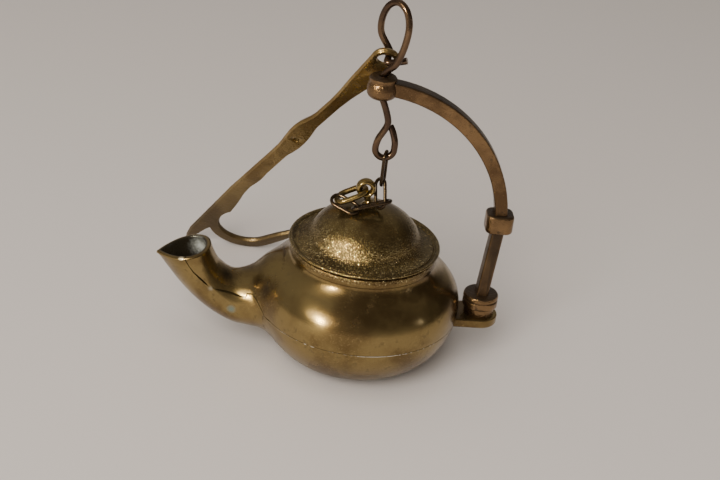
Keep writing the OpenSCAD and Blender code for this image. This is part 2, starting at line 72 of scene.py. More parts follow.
def add_camera():
    right, up = Vector((0.9941, -0.0412, 0.1002)), Vector((-0.068, 0.4822, 0.8734))
    ahead = Vector((0.0843, 0.8751, -0.4765))
    data = bpy.data.cameras.new("photo_camera")
    data.sensor_width = 36
    data.lens = 70.9
    camera = bpy.data.objects.new("photo_camera", data)
    turn = Matrix((right, up, -ahead)).transposed()
    camera.matrix_world = Matrix.Translation(Vector((-39.39, -393.65, 256.01)) * MM) @ turn.to_4x4()
    bpy.context.scene.collection.objects.link(camera)
    bpy.context.scene.camera = camera


# Mesh tools. Shapes are drawn in millimetres and become metres in finish_piece.

def cos(degrees):
    return math.cos(math.radians(degrees))


def sin(degrees):
    return math.sin(math.radians(degrees))


def solid(name, points, faces, outward=True):
    mesh = bpy.data.meshes.new(name)
    mesh.from_pydata([tuple(p) for p in points], [], faces)
    shape = bmesh.new()
    shape.from_mesh(mesh)
    bmesh.ops.remove_doubles(shape, verts=shape.verts, dist=1e-5)
    bmesh.ops.delete(shape, geom=[e for e in shape.edges if not e.link_faces], context="EDGES")
    bmesh.ops.triangulate(shape, faces=[f for f in shape.faces if len(f.verts) > 4])
    if outward:
        bmesh.ops.recalc_face_normals(shape, faces=shape.faces)
    shape.to_mesh(mesh)
    shape.free()
    obj = bpy.data.objects.new(name, mesh)
    bpy.context.scene.collection.objects.link(obj)
    return obj


def skinned(name, rings, closed=False):
    """Closed skin over rings of equal length; closed joins the last ring to the first."""
    m = len(rings[0])
    points = [p for ring in rings for p in ring]
    faces = []
    for j in range(len(rings) - (0 if closed else 1)):
        a, b = j * m, ((j + 1) % len(rings)) * m
        faces += [(a + i, a + (i + 1) % m, b + (i + 1) % m, b + i) for i in range(m)]
    if not closed:
        faces += [tuple(range(m)), tuple(reversed(range(len(points) - m, len(points))))]
    return solid(name, points, faces)


def turned(name, outline, steps=192):
    """A solid turned about Z from a closed outline of radius and height."""
    rings = [[(r * math.cos(a), r * math.sin(a), z) for r, z in outline]
             for a in (2 * math.pi * k / steps for k in range(steps))]
    return skinned(name, rings, closed=True)


def inset(outline, depth):
    """The outline of an anticlockwise polygon moved inwards by depth."""
    moved = []
    n = len(outline)
    for i in range(n):
        a, b, c = Vector(outline[i - 1]), Vector(outline[i]), Vector(outline[(i + 1) % n])
        before, after = (b - a).normalized(), (c - b).normalized()
        left = Vector((-before.y - after.y, before.x + after.x))
        left = left.normalized() if left.length > 1e-6 else Vector((-before.y, before.x))
        widen = max(0.55, left.dot(Vector((-before.y, before.x))))
        moved.append(b + left * depth / widen)
    return moved


def rounded(edge, rounds=4):
    """Edge profile of a plate as rows of inset and depth below the face: flat, then a quarter round."""
    turns = [90 * k / rounds for k in range(rounds + 1)]
    return [(edge + 0.25, 0)] + [(edge * (1 - sin(a)), edge * (1 - cos(a))) for a in turns]


def plate(name, outline, thickness, profile, place=Matrix.Identity(4)):
    """A flat plate centred on its own middle plane, with the same edge profile on both faces."""
    rings = []
    for side in (-1, 1):
        for depth, fall in profile[::-side]:
            ring = inset(outline, depth)
            rings.append([place @ Vector((p.x, p.y, side * (thickness / 2 - fall))) for p in ring])
    return skinned(name, rings)


def join_by(obj, other, operation):
    """Boolean of obj with other, which is used up."""
    modifier = obj.modifiers.new("join", "BOOLEAN")
    modifier.operation = operation
    modifier.solver = "MANIFOLD"
    modifier.object = other
    bake_modifiers(obj)
    bpy.data.objects.remove(other)
    return obj


def bake_modifiers(obj):
    graph = bpy.context.evaluated_depsgraph_get()
    graph.update()
    mesh = bpy.data.meshes.new_from_object(obj.evaluated_get(graph))
    obj.modifiers.clear()
    obj.data = mesh


def smooth_curve(points, n):
    """Curve through the points with n steps a span."""
    points = [Vector(p) for p in points]
    last = len(points) - 1
    out = []
    for i in range(last):
        a, b, c, d = points[max(i - 1, 0)], points[i], points[i + 1], points[min(i + 2, last)]
        for k in range(n):
            s = k / n
            out.append(0.5 * (2 * b + (c - a) * s + (2 * a - 5 * b + 4 * c - d) * s * s
                              + (3 * b - a - 3 * c + d) * s ** 3))
    return out + [points[last]]


def arc(cx, cy, r, start, end, steps):
    return [(cx + r * cos(start + (end - start) * k / steps), cy + r * sin(start + (end - start) * k / steps))
            for k in range(steps + 1)]


def finish_piece(obj, body, material, slot, *nodes, sharp=32):
    """Millimetres to metres, shading, material, and the CAD nodes that the piece stands for."""
    obj.data.transform(Matrix.Scale(MM, 4))
    obj.data.materials.clear()
    obj.data.materials.append(material)
    obj.data.shade_smooth()
    obj.data.set_sharp_from_angle(angle=math.radians(sharp))
    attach(obj, body)
    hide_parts(*nodes)
    return obj


# Materials

def add(tree, kind, inputs=None, **settings):
    """A node with its settings, and its inputs as values or links."""
    node = tree.nodes.new(kind)
    for name, value in settings.items():
        setattr(node, name, value)
    for name, value in (inputs or {}).items():
        if isinstance(value, bpy.types.NodeSocket):
            tree.links.new(value, node.inputs[name])
        else:
            node.inputs[name].default_value = value
    return node


def colour(hex_value):
    """sRGB hex to linear, with alpha."""
    parts = [int(hex_value[i:i + 2], 16) / 255 for i in (1, 3, 5)]
    return [p / 12.92 if p <= 0.04045 else ((p + 0.055) / 1.055) ** 2.4 for p in parts] + [1]


def blend_colour(tree, factor, a, b, kind="MIX"):
    node = add(tree, "ShaderNodeMix", data_type="RGBA", blend_type=kind, clamp_factor=True)
    for name, value in (("Factor", factor), ("A", a), ("B", b)):
        socket = next(s for s in node.inputs if s.name == name and s.enabled
                      and (s.type == "RGBA" or name == "Factor"))
        if isinstance(value, bpy.types.NodeSocket):
            tree.links.new(value, socket)
        else:
            socket.default_value = value
    return next(s for s in node.outputs if s.enabled and s.type == "RGBA")


def noise(tree, place, size_mm, detail=3):
    inputs = {"Vector": place, "Scale": 1 / (size_mm * MM), "Detail": detail, "Roughness": 0.6}
    return add(tree, "ShaderNodeTexNoise", inputs).outputs["Fac"]


def fade(tree, value, low, high, scale=1.0):
    """Smooth rise from 0 at low to scale at high; low may lie above high."""
    inputs = {"Value": value, "From Min": low, "From Max": high, "To Max": scale}
    return add(tree, "ShaderNodeMapRange", inputs, interpolation_type="SMOOTHSTEP").outputs["Result"]


def maths(tree, operation, a, b=0.0):
    return add(tree, "ShaderNodeMath", {0: a, 1: b}, operation=operation, use_clamp=True).outputs[0]


def spot(tree, place, centre, radius, soft):
    """Mask of a small blot with a ragged edge, its centre and radius in millimetres."""
    away = add(tree, "ShaderNodeVectorMath", {0: place, 1: Vector(centre) * MM}, operation="DISTANCE").outputs["Value"]
    ragged = add(tree, "ShaderNodeMath", {0: noise(tree, place, 0.8), 1: radius * MM, 2: away},
                 operation="MULTIPLY_ADD").outputs[0]
    return fade(tree, ragged, (1.35 + soft) * radius * MM, (1.35 - soft) * radius * MM)


def aged_metal(name, light, dark, stain_and_shade, roughness, grain_mm, grain_depth, grain_zone=None, stain_share=0.35,
               line_depth=0.0, anisotropic=0.0, top_shade=0.0, low_grime_and_shade=(10, 0, 0), blots=(), solder=False, inside=False):
    """Bare copper alloy with handling wear. Two close tones drift over it, stains sit in small spots, and
    grime with painted shade darkens the hollows. A cast grain covers it, or only the heights of grain_zone,
    where the grain's tops are painted bright as glints and its pits painted dark. Upward faces can take
    painted shade, the low part can be painted darker as patina and shade, some blots are painted shade
    or a painted highlight, and the inner walls take soot and a painted reflection. Turned pieces have
    fine lines round the axis."""
    material = bpy.data.materials.new(name)
    material.use_nodes = True
    tree = material.node_tree
    shader = tree.nodes["Principled BSDF"]
    coordinates = add(tree, "ShaderNodeTexCoord").outputs
    place = coordinates["Object"]
    x, y, z = add(tree, "ShaderNodeSeparateXYZ", {"Vector": place}).outputs
    clouds = noise(tree, place, 13)
    tone = blend_colour(tree, fade(tree, clouds, 0.38, 0.62), colour(dark), colour(light))
    stains = fade(tree, noise(tree, place, 3.2, 5), 0.56, 0.72, stain_share)
    specks = fade(tree, noise(tree, place, 0.8), 0.68, 0.74, stain_share)
    edges = add(tree, "ShaderNodeNewGeometry").outputs["Pointiness"]
    # Grime and painted shade darken the hollows
    hollow = fade(tree, edges, 0.49, 0.42, 0.8)
    soil_and_shade = maths(tree, "MAXIMUM", maths(tree, "MAXIMUM", stains, specks), hollow)
    # Painted shade on upward faces
    if top_shade:
        upward = add(tree, "ShaderNodeSeparateXYZ", {"Vector": coordinates["Normal"]}).outputs["Z"]
        soil_and_shade = maths(tree, "MAXIMUM", soil_and_shade, fade(tree, upward, 0.35, 0.7, top_shade))
    worn = fade(tree, noise(tree, place, 0.5, 1), 0.62, 0.7, 0.8)
    worn = maths(tree, "MAXIMUM", worn, fade(tree, edges, 0.508, 0.56, 0.6))
    tone = blend_colour(tree, worn, tone, colour(light))
    # Darker towards the bottom: patina and painted shade
    high_z, low_z, share = low_grime_and_shade
    soil_and_shade = maths(tree, "MAXIMUM", soil_and_shade, fade(tree, z, high_z * MM, low_z * MM, share))
    tone = blend_colour(tree, soil_and_shade, tone, colour(stain_and_shade))
    rough = add(tree, "ShaderNodeMapRange", {"Value": clouds, "From Min": 0.3, "From Max": 0.7,
                                             "To Min": roughness + 0.04, "To Max": roughness - 0.03}).outputs["Result"]
    rough = maths(tree, "ADD", rough, maths(tree, "MULTIPLY", soil_and_shade, 0.16))
    rough = maths(tree, "SUBTRACT", rough, maths(tree, "MULTIPLY", worn, 0.08))
    metal = maths(tree, "SUBTRACT", 0.92, maths(tree, "MULTIPLY", soil_and_shade, 0.3))
    grain = noise(tree, place, grain_mm, 2)
    strength = 1.0
    if grain_zone:
        smooth_z, grainy_z, least = grain_zone
        strength = maths(tree, "ADD", fade(tree, z, smooth_z * MM, grainy_z * MM, 1 - least), least)
        # Painted glints: the grain's tops are painted bright, and its pits painted dark as grime and shade
        pit_grime_and_shade = maths(tree, "MULTIPLY", strength, fade(tree, grain, 0.48, 0.38, 0.6))
        painted_glints = maths(tree, "MULTIPLY", strength, fade(tree, grain, 0.56, 0.66, 0.6))
        tone = blend_colour(tree, pit_grime_and_shade, tone, colour(stain_and_shade))
        tone = blend_colour(tree, painted_glints, tone, colour("#f3e3b0"))
    if solder:
        # White metal that stands in specks along the seam, thickest at the front
        beside = maths(tree, "MULTIPLY", fade(tree, z, (SEAM_Z - 0.34) * MM, (SEAM_Z - 0.26) * MM),
                       fade(tree, z, (SEAM_Z + 0.02) * MM, (SEAM_Z - 0.04) * MM))
        front = maths(tree, "MULTIPLY", fade(tree, x, -3 * MM, 1 * MM), fade(tree, x, 14 * MM, 10 * MM))
        ragged = maths(tree, "ADD", noise(tree, place, 0.9), maths(tree, "MULTIPLY", front, 0.16))
        line = maths(tree, "MULTIPLY", beside, fade(tree, ragged, 0.54, 0.6))
        line = maths(tree, "MULTIPLY", line, fade(tree, x, -28 * MM, -24 * MM))
        tone = blend_colour(tree, line, tone, colour("#d9d4c6"))
    # Blots, among them painted shade and a painted highlight
    for blot_colour, centre, radius, soft, metallic, dull in blots:
        mask = spot(tree, place, centre, radius, soft)
        tone = blend_colour(tree, mask, tone, colour(blot_colour))
        if not metallic:
            metal = maths(tree, "SUBTRACT", metal, mask)
        if dull:
            rough = maths(tree, "ADD", rough, maths(tree, "MULTIPLY", mask, dull))
    if inside:
        # Soot on the inner walls, and a painted reflection, pale, on the mouth's far inner wall
        soot = add(tree, "ShaderNodeAttribute", attribute_name="inside").outputs["Fac"]
        tone = blend_colour(tree, maths(tree, "MULTIPLY", soot, 0.95), tone, colour("#26231c"))
        mouth_reflection = maths(tree, "MULTIPLY", soot, spot(tree, place, (-51.2, 6.3, 32.5), 3, 0.85))
        tone = blend_colour(tree, mouth_reflection, tone, colour("#c9cdc2"))
        metal = maths(tree, "SUBTRACT", metal, maths(tree, "MAXIMUM", mouth_reflection, maths(tree, "MULTIPLY", soot, 0.5)))
        rough = maths(tree, "ADD", rough, maths(tree, "MULTIPLY", soot, 0.05))
    tree.links.new(tone, shader.inputs["Base Color"])
    tree.links.new(rough, shader.inputs["Roughness"])
    tree.links.new(metal, shader.inputs["Metallic"])
    bump = add(tree, "ShaderNodeBump", {"Height": grain, "Distance": grain_depth * MM, "Strength": strength})
    bump = bump.outputs["Normal"]
    if line_depth:
        radius = add(tree, "ShaderNodeVectorMath", {0: add(tree, "ShaderNodeCombineXYZ", {"X": x, "Y": y}).outputs[0]},
                     operation="LENGTH").outputs["Value"]
        across = add(tree, "ShaderNodeMath", {0: z, 1: radius}, operation="SUBTRACT").outputs[0]
        lines = add(tree, "ShaderNodeTexNoise", {"W": across, "Scale": 1 / (0.35 * MM), "Detail": 2},
                    noise_dimensions="1D").outputs["Fac"]
        bump = add(tree, "ShaderNodeBump", {"Height": lines, "Distance": line_depth * MM, "Normal": bump})
        bump = bump.outputs["Normal"]
    tree.links.new(bump, shader.inputs["Normal"])
    if anisotropic:
        shader.inputs["Anisotropic"].default_value = anisotropic
        shader.inputs["Anisotropic Rotation"].default_value = 0.25
        tangent = add(tree, "ShaderNodeTangent", direction_type="RADIAL", axis="Z")
        tree.links.new(tangent.outputs[0], shader.inputs["Tangent"])
    return material


# Blots: colour, centre, radius, softness, metallic, added roughness
VERDIGRIS = ("#566359", (-40.6, -9.1, 18.5), 1.3, 0.75, False, 0.3)
SEAM_SOLDER = ("#a69c84", (-47.5, -8.4, 25.2), 0.75, 0.6, True, 0)
SOLDER_BEAD = ("#e4dcc6", (-36.9, -8.6, 23.0), 0.35, 0.4, True, 0)
# Painted shade where the spout meets the body, with added roughness, to dim reflections there
ROOT_SHADE = ("#41382a", (-30.2, -11, 27.6), 3.2, 0.95, True, 0.4)
SADDLE_SHADE = ("#41382a", (-42.7, -3, 27.8), 3, 0.95, True, 0.4)
# Painted highlight along the top of the spout's near rim
RIM_HIGHLIGHT = ("#f2e6c4", (-57.5, -7.4, 35.3), 1.25, 0.3, True, 0)

# Cast brass, turned and rubbed by hand: olive brown and satin, with lathe lines and a rough cast collar
# whose grain has painted glints; painted darker towards the bottom as patina and shade, with painted shade
# at the spout's root and a painted highlight on its rim
turned_brass = aged_metal("turned_brass", "#8b784e", "#6b5838", "#3c2c1c", 0.22, 0.5, 0.3, (38.4, 39.3, 0.05),
                          stain_share=0.45, line_depth=0.014, anisotropic=0.68, low_grime_and_shade=(18, 4, 0.5), solder=True,
                          inside=True, blots=(ROOT_SHADE, SADDLE_SHADE, RIM_HIGHLIGHT, VERDIGRIS, SEAM_SOLDER, SOLDER_BEAD))
# Lid: the same brass, with the sand's grain left on its lower half, its tops painted bright as glints
grained_brass = aged_metal("grained_brass", "#86744a", "#665636", "#2c2315", 0.22, 0.5, 0.26, (53, 45, 0.08),
                           stain_share=0.45, line_depth=0.008)
# Forged and filed strap: browner, with painted shade on its upward faces
forged_brass = aged_metal("forged_brass", "#83694a", "#5b4732", "#241d16", 0.26, 0.7, 0.2, stain_share=0.7,
                          top_shade=0.8)
# Beaten arm of the same brass, evenly handled, painted darker towards its low end as patina and shade
beaten_brass = aged_metal("beaten_brass", "#a38b5a", "#806942", "#33291b", 0.28, 0.9, 0.14, stain_share=0.5,
                          low_grime_and_shade=(55, 12, 0.75))
# Drawn wire of the swivel: brown with a slight red
drawn_wire = aged_metal("drawn_wire", "#66523f", "#483930", "#231c18", 0.2, 0.6, 0.03, stain_share=0.5)
# Ring and eye of yellower brass, rubbed bright by the chain
ring_brass = aged_metal("ring_brass", "#94804f", "#6e5c38", "#2c2517", 0.2, 0.5, 0.03, stain_share=0.6)
# Chain wire: dull brown
chain_wire = aged_metal("chain_wire", "#544635", "#3a3026", "#1d1915", 0.24, 0.4, 0.04, stain_share=0.5)


# Wires and links: one tree sweeps a round section along a path

def wire_tree():
    tree = bpy.data.node_groups.new("swept_wire", "GeometryNodeTree")
    tree.is_modifier = True
    for label, kind in (("Path", "NodeSocketGeometry"), ("Radius", "NodeSocketFloat"),
                        ("Sides", "NodeSocketInt"), ("Finish", "NodeSocketMaterial")):
        tree.interface.new_socket(label, in_out="INPUT", socket_type=kind)
    tree.interface.new_socket("Wire", in_out="OUTPUT", socket_type="NodeSocketGeometry")
    given = add(tree, "NodeGroupInput").outputs
    section = {"Resolution": given["Sides"], "Radius": given["Radius"]}
    circle = add(tree, "GeometryNodeCurvePrimitiveCircle", section).outputs[0]
    swept = add(tree, "GeometryNodeCurveToMesh", {"Curve": given["Path"], "Profile Curve": circle, "Fill Caps": True})
    realised = add(tree, "GeometryNodeRealizeInstances", {"Geometry": swept.outputs[0]}).outputs[0]
    finished = add(tree, "GeometryNodeSetMaterial", {"Geometry": realised, "Material": given["Finish"]}).outputs[0]
    add(tree, "NodeGroupOutput", {"Wire": finished})
    return tree


swept_wire = wire_tree()


def wire(name, path, cyclic, radius, material, sides=18):
    data = bpy.data.curves.new(name + "_path", "CURVE")
    data.dimensions = "3D"
    spline = data.splines.new("POLY")
    spline.points.add(len(path) - 1)
    for point, p in zip(spline.points, path):
        point.co = (*p, 1)
    spline.use_cyclic_u = cyclic
    carrier = bpy.data.objects.new(name + "_path", data)
    bpy.context.scene.collection.objects.link(carrier)
    modifier = carrier.modifiers.new("wire", "NODES")
    modifier.node_group = swept_wire
    named = {item.name: item.identifier for item in swept_wire.interface.items_tree if item.in_out == "INPUT"}
    for label, value in (("Radius", radius), ("Sides", sides), ("Finish", material)):
        modifier[named[label]] = value
    graph = bpy.context.evaluated_depsgraph_get()
    graph.update()
    mesh = bpy.data.meshes.new_from_object(carrier.evaluated_get(graph))
    mesh.name = name
    bpy.data.objects.remove(carrier)
    obj = bpy.data.objects.new(name, mesh)
    bpy.context.scene.collection.objects.link(obj)
    shape = bmesh.new()
    shape.from_mesh(mesh)
    bmesh.ops.remove_doubles(shape, verts=shape.verts, dist=1e-5)
    bmesh.ops.recalc_face_normals(shape, faces=shape.faces)
    shape.to_mesh(mesh)
    shape.free()
    return obj


def link_path(length, width, steps=14):
    """Oval from the origin along -X, with its width along Y."""
    r = width / 2
    near = arc(-r, 0, r, -90, 90, steps)
    away = arc(-length + r, 0, r, 90, 270, steps)
    sides = 8
    top = [(-r + (-length + 2 * r) * k / sides, r) for k in range(1, sides)]
    low = [(-length + r + (length - 2 * r) * k / sides, -r) for k in range(1, sides)]
    return [Vector((x, y, 0)) for x, y in near + top + away + low]


def turn_of(x, y, z):
    return Euler((math.radians(x), math.radians(y), math.radians(z)), "XYZ").to_matrix()


# Reservoir and spout

def lower_curve(r, z0, bottom_r, step):
    count = round(90 / step)
    return [(bottom_r + (r - bottom_r) * cos(90 - step * k), z0 + (BELLY_Z - z0) * (1 - sin(90 - step * k)))
            for k in range(count + 1)]


def upper_curve(r, h, stop_r, step):
    out = []
    t = step
    while r * cos(t) > stop_r:
        out.append((r * cos(t), BELLY_Z + h * sin(t) ** 0.79))
        t += step
    return out


def reservoir_outside():
    shoulder = upper_curve(BODY_R, SHOULDER_H, COLLAR_R + 2.9, 1.2)
    foot_r, foot_z = COLLAR_R - 0.2, COLLAR_Z - 2.9
    start, corner, end = Vector(shoulder[-1]), Vector((foot_r, foot_z - 2)), Vector((foot_r, foot_z))
    cove = [start * (1 - s) ** 2 + corner * 2 * s * (1 - s) + end * s * s for s in (k / 10 for k in range(1, 11))]
    base = [(BASE_R * k / 8, 0) for k in range(9)]
    lip = [(COLLAR_R - 0.45 + 0.45 * cos(a), COLLAR_Z - 0.45 + 0.45 * sin(a)) for a in (0, 22, 45, 68, 90)]
    sides = [(foot_r + 0.06, foot_z + 0.1), (COLLAR_R - 0.05, foot_z + 0.2), (COLLAR_R, foot_z + 0.4),
             (COLLAR_R, foot_z + 1.2), (COLLAR_R, foot_z + 1.9)]
    outline = base + lower_curve(BODY_R, 0, BASE_R, 2.2)[1:] + shoulder + [tuple(p) for p in cove] + sides + lip
    return turned("reservoir", outline + [(0, COLLAR_Z)], 240)


def reservoir_hollow():
    outline = [(0, FLOOR_T)] + lower_curve(BODY_R - WALL, FLOOR_T, BASE_R, 5)
    outline += upper_curve(BODY_R - WALL, SHOULDER_H - WALL, NECK_R, 4)
    lip = [(NECK_R, COLLAR_Z - 6), (NECK_R, COLLAR_Z - 0.3), (NECK_R + 0.3, COLLAR_Z), (NECK_R + 0.3, COLLAR_Z + 1)]
    return turned("hollow", outline + lip + [(0, COLLAR_Z + 1)], 144)


STATIONS = [(-20, 8.5, -20, 34, 16, 0), (-25.5, 8, -25.5, 34.6, 14.5, 0), (-30, 8.7, -30, 33, 12.3, 0),
            (-35, 9.4, -35, 28.8, 10.4, 0), (-41, 10.5, -40.5, 27.3, 9, 0), (-49.5, 15.2, -45, 30, 8.6, 0.15),
            (-57.5, 22.5, -47, 33.2, MOUTH_HALF_W + 0.3, 0.4), (-TIP_X, TIP_Z, -BACK_X, BACK_Z, MOUTH_HALF_W, 0.8)]


def spline_numbers(rows, n):
    last = len(rows) - 1
    out = []
    for i in range(last):
        a, b, c, d = rows[max(i - 1, 0)], rows[i], rows[i + 1], rows[min(i + 2, last)]
        for k in range(n):
            s = k / n
            out.append([0.5 * (2 * q + (r - p) * s + (2 * p - 5 * q + 4 * r - t) * s * s
                               + (3 * q - p - 3 * r + t) * s ** 3) for p, q, r, t in zip(a, b, c, d)])
    return out + [list(rows[last])]


def spout_ring(s, inward, sides=72, lift=0.0):
    low, high = Vector((s[0], 0, s[1])), Vector((s[2], 0, s[3]))
    axis = (high - low).normalized()
    middle, half = (low + high) / 2, (high - low).length / 2 - inward
    pinch = max(s[5], 0)
    widest = max(sin(a) * cos(a / 2) ** pinch for a in range(0, 181, 2))
    w = (s[4] - inward) / widest
    out = Vector((-axis.z, 0, axis.x)) * lift
    ring = []
    for i in range(sides):
        a = 360 * i / sides
        ring.append(middle + out + axis * half * cos(a) + Vector((0, w * sin(a) * abs(cos(a / 2)) ** pinch, 0)))
    return ring


RIM, OUTER_RIM = 0.45, 0.8


def spout_outside():
    rows = spline_numbers(STATIONS, 8)
    rings = [spout_ring(s, 0) for s in rows[:-1]]
    for a in (0, 22, 45, 68, 90):
        rings.append(spout_ring(rows[-1], OUTER_RIM * (1 - cos(a)), lift=-OUTER_RIM * (1 - sin(a))))
    return skinned("spout", rings)


def spout_hollow():
    rows = spline_numbers(STATIONS, 4)
    rings = [spout_ring(s, SPOUT_WALL) for s in rows[:-1]]
    for a in (0, 22, 45, 68, 90):
        rings.append(spout_ring(rows[-1], SPOUT_WALL - RIM * (1 - cos(a)), lift=-RIM * (1 - sin(a)) + 0.01))
    rings.append(spout_ring(rows[-1], SPOUT_WALL - RIM, lift=2))
    return skinned("spout_hollow", rings)


# Points of the seam from the body along the spout: x, height above SEAM_Z, width of the open gap
SEAM = [(-30, 0, 0.06), (-30.9, 1.5, 0.16), (-31.6, 2.6, 0.22), (-33.4, 4.8, 0.3), (-34.6, 5.3, 0.34),
        (-35.8, 5, 0.38), (-36.2, 4, 0.4), (-37.6, 3.8, 0.48), (-39.4, 3.9, 0.52), (-42.4, 4.6, 0.56),
        (-45, 5.4, 0.5), (-46.4, 6, 0.14), (-47.4, 6.5, 0.03), (-48.4, 7.1, 0.14), (-49.3, 7.7, 0.5),
        (-51.4, 9.6, 0.56), (-53.2, 11.4, 0.36), (-54.6, 13.3, 0.24), (-56, 15.5, 0.3), (-57, 24, 0.4)]
FAR_GAP = 0.1


def above_seam(opened):
    """Everything above the seam, or above its gap, which solder nearly closes on the far side."""
    far = 120
    rings = []
    for y, share in ((-far, opened), (-1, opened), (1, opened * FAR_GAP), (far, opened * FAR_GAP)):
        line = [(far, SEAM_Z + SEAM[0][2] * opened)]
        for i, (x, rise, gap) in enumerate(SEAM):
            before, after = SEAM[max(i - 1, 0)], SEAM[min(i + 1, len(SEAM) - 1)]
            along = Vector((before[0] - after[0], before[1] - after[1])).normalized()
            line.append((x - along.y * gap * share, SEAM_Z + rise + along.x * gap * share))
        line += [(SEAM[-1][0] + 1, far), (far, far)]
        rings.append([(x, y, z) for x, z in line])
    return skinned("above", rings)


def seam_groove():
    """The shallow V left between the shells' rounded edges round the body."""
    r = BODY_R - 0.12
    section = [(r - 0.22, 0), (r + 0.15, -0.26), (r + 0.5, 0), (r + 0.15, 0.26)]
    rings = [[(p * cos(a), p * sin(a), SEAM_Z + h) for p, h in section] for a in range(-156, 157, 2)]
    return skinned("groove", rings)


def surface_of(part):
    """Tree for the nearest point on a piece's skin."""
    points = [v.co for v in part.data.vertices]
    return bvhtree.BVHTree.FromPolygons(points, [tuple(f.vertices) for f in part.data.polygons])


def soften_root(shell, first, second, reach):
    """Turns the sharp crease where two skins meet into a cast fillet."""
    trees = [surface_of(part) for part in (first, second)]
    mesh = shell.data
    normals = [v.normal.copy() for v in mesh.vertices]
    for vertex, normal in zip(mesh.vertices, normals):
        if vertex.co.x > -8:
            continue
        away = [tree.find_nearest(vertex.co)[3] for tree in trees]
        apart = abs(away[0] - away[1])
        if apart < reach:
            vertex.co += normal * (reach - apart) ** 2 / (4 * reach)


def mark_inside(shell):
    """Point attribute that is 1 on the inner walls and 0 outside."""
    cutters = [reservoir_hollow(), spout_hollow()]
    trees = [surface_of(cutter) for cutter in cutters]
    inside = shell.data.attributes.new("inside", "FLOAT", "POINT")
    for vertex, value in zip(shell.data.vertices, inside.data):
        away = min(tree.find_nearest(vertex.co)[3] for tree in trees)
        rim = max(tree.find_nearest(vertex.co + vertex.normal * 0.5)[3] for tree in trees) < 0
        value.value = 1.0 if away < 0.02 and not rim else 0.0
    for cutter in cutters:
        bpy.data.objects.remove(cutter)


def lug():
    outline = [(BODY_R - 5, -LUG_R)] + arc(LUG_X, 0, LUG_R, -90, 90, 32) + [(BODY_R - 5, LUG_R)]
    return plate("lug", outline, LUG_T, rounded(0.5), Matrix.Translation((0, 0, LUG_TOP - LUG_T / 2)))


def build_shells():
    body, spout = reservoir_outside(), spout_outside()
    outside = reservoir_outside()
    join_by(outside, spout_outside(), "UNION")
    soften_root(outside, body, spout, 3.2)
    bpy.data.objects.remove(body)
    bpy.data.objects.remove(spout)
    join_by(outside, reservoir_hollow(), "DIFFERENCE")
    join_by(outside, spout_hollow(), "DIFFERENCE")
    lower = outside.copy()
    lower.data = outside.data.copy()
    bpy.context.scene.collection.objects.link(lower)
    join_by(outside, above_seam(1), "INTERSECT")
    join_by(lower, above_seam(0), "DIFFERENCE")
    join_by(outside, seam_groove(), "DIFFERENCE")
    join_by(lower, seam_groove(), "DIFFERENCE")
    plate_part = lug()
    join_by(plate_part, reservoir_hollow(), "DIFFERENCE")
    join_by(lower, plate_part, "UNION")
    bore = skinned("bore", [[(LUG_X + RIVET_R * cos(a), RIVET_R * sin(a), z) for a in range(0, 360, 8)]
                            for z in (LUG_TOP - 5, LUG_TOP + 2)])
    join_by(lower, bore, "DIFFERENCE")
    lower.name, outside.name = "lower_shell_skin", "upper_shell_skin"
    mark_inside(lower)
    mark_inside(outside)
    finish_piece(lower, LAMP, turned_brass, "brass_shell", "lower_shell")
    finish_piece(outside, LAMP, turned_brass, "brass_shell", "upper_shell")


# Lid

def build_lid():
    inner_r = DOME_R - LID_WALL
    rim_in = SPIGOT_R - LID_WALL
    ledge = GUTTER_Z - LID_WALL
    dome = [(DOME_R * cos(t), DOME_Z + DOME_H * sin(t)) for t in range(81, 14, -2)]
    start, lean, end = Vector(dome[-1]), Vector((DOME_R + 0.1, BRIM_TOP + 0.3)), Vector((GUTTER_X - 0.3, GUTTER_Z + 0.3))
    flare = [start * (1 - k) ** 2 + lean * 2 * k * (1 - k) + end * k * k for k in (i / 12 for i in range(1, 13))]
    gutter = [(GUTTER_X - 0.12, GUTTER_Z + 0.08), (GUTTER_X, GUTTER_Z), (GUTTER_X + 0.25, GUTTER_Z + 0.1),
              (GUTTER_X + 0.5, GUTTER_Z + 0.4), (BRIM_R - 1.1, BRIM_TOP - 0.14), (BRIM_R - 0.9, BRIM_TOP - 0.03),
              (BRIM_R - 0.65, BRIM_TOP)]
    rim = [(BRIM_R - 0.5 + 0.5 * cos(a), BRIM_TOP - 0.5 + 0.5 * sin(a)) for a in (75, 55, 35, 15, 0)]
    rim += [(BRIM_R - 0.02, BRIM_TOP - 0.62), (BRIM_R - 0.12, BRIM_TOP - 0.78), (BRIM_R - 0.4, BRIM_TOP - LIP_T)]
    hollow_h = CROWN_Z - LID_WALL - ledge
    hollow = [(inner_r * cos(t), ledge + hollow_h * sin(t)) for t in range(0, 81, 4)]
    spigot_z = COLLAR_Z - SPIGOT_H
    outline = [(POST_R, CROWN_Z - 0.02), (CROWN_R, CROWN_Z)] + dome + [tuple(p) for p in flare] + gutter + rim
    outline += [(BRIM_R - 1.4, BRIM_Z), (SPIGOT_R, BRIM_Z), (SPIGOT_R, spigot_z + 0.3), (SPIGOT_R - 0.3, spigot_z),
                (rim_in, spigot_z), (rim_in, ledge)]
    outline += hollow + [(POST_R, CROWN_Z - LID_WALL)]
    finish_piece(turned("lid_skin", outline, 240), "lid", grained_brass, "brass_shell", "lid")


